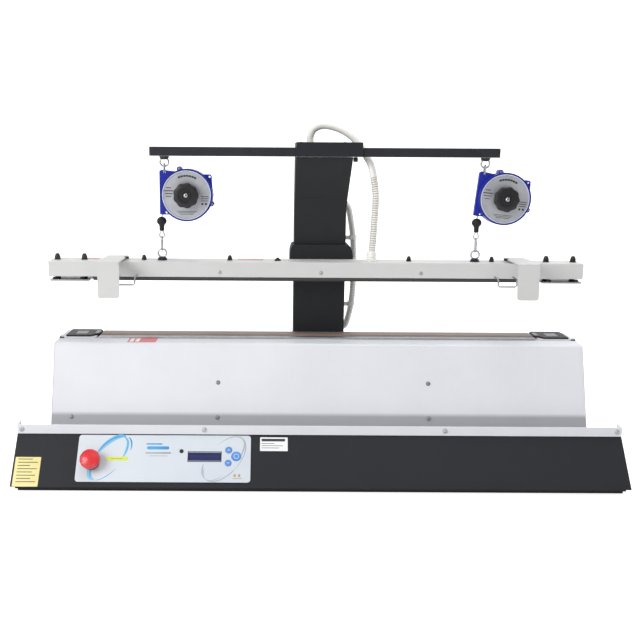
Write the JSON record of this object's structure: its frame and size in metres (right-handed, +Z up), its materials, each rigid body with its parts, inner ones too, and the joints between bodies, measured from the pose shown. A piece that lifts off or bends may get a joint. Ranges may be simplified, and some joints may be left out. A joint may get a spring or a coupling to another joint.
{
  "type": "impulse heat sealer",
  "caption": "Wide impulse heat sealer: sloping console, sealing body with heated strip, column, and a sliding upper jaw hung from spring balancers with magnetic hold-down.",
  "frame": {"origin": "on the bench, under the middle of the machine's bounding box", "axes": "+X to the operator's right along the jaws, +Y from the operator to the column, +Z up"},
  "size_m": [1.22, 0.3798, 0.724],
  "materials": {
    "body_grey": "satin light grey paint",
    "beam_grey": "satin grey paint",
    "console_black": "fine textured black paint",
    "column_black": "fine textured black paint",
    "crossbar_black": "satin black paint",
    "zinc_steel": "brushed",
    "bright_steel": "bright zinc plate",
    "alloy": "machined",
    "copper": "enamelled copper winding",
    "brass": "turned brass",
    "nichrome": "rolled ribbon",
    "glass_cloth": "woven glass cloth",
    "ptfe_brown": "brown PTFE-coated glass cloth",
    "rubber_black": "matte",
    "silicone": "silicone rubber",
    "enamel_winding": "varnished winding",
    "board_green": "solder mask",
    "black_plastic": "fine moulded",
    "overlay_white": "printed polyester overlay",
    "display_glass": "polished",
    "stop_red": "moulded",
    "button_blue": "moulded",
    "housing_blue": "painted die casting",
    "conduit_white": "corrugated",
    "conduit_grey": "corrugated"
  },
  "bodies": {
    "root": {"base_tray": "console_black", "foot_strip_front": "rubber_black", "foot_strip_rear": "rubber_black", "console_cover": "console_black", "catch_tray": "body_grey", "front_cover": "body_grey", "rear_cover": "body_grey", "end_cover_left": "body_grey", "end_cover_right": "body_grey", "seal_bar": "alloy", "insulation_strip": "glass_cloth", "heating_element": "nichrome", "ptfe_cover": "ptfe_brown", "element_clamp_left": "brass", "magnet_core_left": "zinc_steel", "magnet_core_right": "zinc_steel", "magnet_coil_left": "copper", "magnet_coil_right": "copper", "magnet_frame_left": "black_plastic", "magnet_frame_right": "black_plastic", "transformer": "enamel_winding", "control_board": "board_green", "mains_inlet": "black_plastic", "column": "column_black", "head": "console_black", "crossbar": "crossbar_black", "bar_eye_left": "bright_steel", "bar_eye_right": "bright_steel", "control_overlay": "overlay_white", "display": "display_glass", "estop_body": "black_plastic", "conduit_lower": "conduit_grey"},
    "jaw": {"carriage": "column_black", "beam": "beam_grey", "silicone_strip": "silicone", "guard_left": "beam_grey", "guard_right": "beam_grey", "pull_handle_left": "zinc_steel", "pull_handle_right": "zinc_steel", "jaw_eye_left": "bright_steel", "jaw_eye_right": "bright_steel", "conduit_upper": "conduit_white"},
    "armature_left": {"armature_left": "zinc_steel"},
    "armature_right": {"armature_right": "zinc_steel"},
    "hook_left": {"snap_hook_left": "bright_steel"},
    "hook_right": {"snap_hook_right": "bright_steel"},
    "balancer_left": {"balancer_housing_left": "housing_blue"},
    "balancer_right": {"balancer_housing_right": "housing_blue"},
    "drum_left": {"balancer_drum_left": "alloy"},
    "drum_right": {"balancer_drum_right": "alloy"},
    "knob_left": {"balancer_knob_left": "black_plastic"},
    "knob_right": {"balancer_knob_right": "black_plastic"},
    "estop_plunger": {"estop_stem": "black_plastic"},
    "estop_head": {"estop_cap": "stop_red"},
    "up_button": {"button_up": "button_blue"},
    "down_button": {"button_down": "button_blue"},
    "enter_button": {"button_enter": "button_blue"},
    "mains_rocker": {"switch_rocker": "black_plastic"},
    "bar_clamp": {"clamp_knob": "black_plastic"},
    "sprung_clamp": {"element_clamp_right": "brass"}
  },
  "joints": [
    {"name": "jaw_slide", "type": "slide", "parent": "root", "child": "jaw", "axis": [0, 0, 1], "range_m": [-0.115, 0], "stiffness_N_per_m": 200, "springref_m": 0.6, "deforming": ["conduit_upper"]},
    {"name": "balancer_swing_left", "type": "hinge", "parent": "root", "child": "balancer_left", "pos_m": [-0.3245, 0.045, 0.6305], "axis": [0, 1, 0], "range_deg": [-3, 3]},
    {"name": "drum_turn_left", "type": "hinge", "parent": "balancer_left", "child": "drum_left", "pos_m": [-0.2773, 0.045, 0.5698], "axis": [0, 1, 0], "range_deg": [-140, 5]},
    {"name": "tension_knob_left", "type": "hinge", "parent": "balancer_left", "child": "knob_left", "pos_m": [-0.2773, 0.045, 0.5698], "axis": [0, 1, 0], "continuous": true},
    {"name": "hook_swing_left", "type": "hinge", "parent": "jaw", "child": "hook_left", "pos_m": [-0.332, 0.045, 0.4543], "axis": [0, 1, 0], "range_deg": [-4, 4]},
    {"name": "armature_float_left", "type": "slide", "parent": "jaw", "child": "armature_left", "axis": [0, 0, 1], "range_m": [0, 0.0025]},
    {"name": "balancer_swing_right", "type": "hinge", "parent": "root", "child": "balancer_right", "pos_m": [0.3468, 0.045, 0.6305], "axis": [0, 1, 0], "range_deg": [-3, 3]},
    {"name": "drum_turn_right", "type": "hinge", "parent": "balancer_right", "child": "drum_right", "pos_m": [0.38797, 0.045, 0.56556], "axis": [0, 1, 0], "range_deg": [-140, 5]},
    {"name": "tension_knob_right", "type": "hinge", "parent": "balancer_right", "child": "knob_right", "pos_m": [0.38797, 0.045, 0.56556], "axis": [0, 1, 0], "continuous": true},
    {"name": "hook_swing_right", "type": "hinge", "parent": "jaw", "child": "hook_right", "pos_m": [0.335, 0.045, 0.4543], "axis": [0, 1, 0], "range_deg": [-4, 4]},
    {"name": "armature_float_right", "type": "slide", "parent": "jaw", "child": "armature_right", "axis": [0, 0, 1], "range_m": [0, 0.0025]},
    {"name": "estop_push", "type": "slide", "parent": "root", "child": "estop_plunger", "axis": [0, 0.7817, -0.6236], "range_m": [0, 0.005], "stiffness_N_per_m": 800},
    {"name": "estop_twist", "type": "hinge", "parent": "estop_plunger", "child": "estop_head", "pos_m": [-0.4544, -0.15788, 0.05226], "axis": [0, -0.7817, 0.6236], "range_deg": [-45, 0]},
    {"name": "up_press", "type": "slide", "parent": "root", "child": "up_button", "axis": [0, 0.7817, -0.6236], "range_m": [0, 0.0008], "stiffness_N_per_m": 1500},
    {"name": "down_press", "type": "slide", "parent": "root", "child": "down_button", "axis": [0, 0.7817, -0.6236], "range_m": [0, 0.0008], "stiffness_N_per_m": 1500},
    {"name": "enter_press", "type": "slide", "parent": "root", "child": "enter_button", "axis": [0, 0.7817, -0.6236], "range_m": [0, 0.0008], "stiffness_N_per_m": 1500},
    {"name": "mains_switch", "type": "hinge", "parent": "root", "child": "mains_rocker", "pos_m": [0.354, 0.0843, 0.093], "axis": [1, 0, 0], "range_deg": [-20, 0]},
    {"name": "bar_clamp_turn", "type": "hinge", "parent": "root", "child": "bar_clamp", "pos_m": [0.0755, 0.045, 0.6441], "axis": [0, 0, 1], "continuous": true},
    {"name": "element_tension", "type": "slide", "parent": "root", "child": "sprung_clamp", "axis": [1, 0, 0], "range_m": [0, 0.002], "stiffness_N_per_m": 4000}
  ],
  "couplings": [
    {"joint": "drum_turn_left", "follows": "jaw_slide", "rad_per_m": 20},
    {"joint": "drum_turn_right", "follows": "jaw_slide", "rad_per_m": 20}
  ]
}
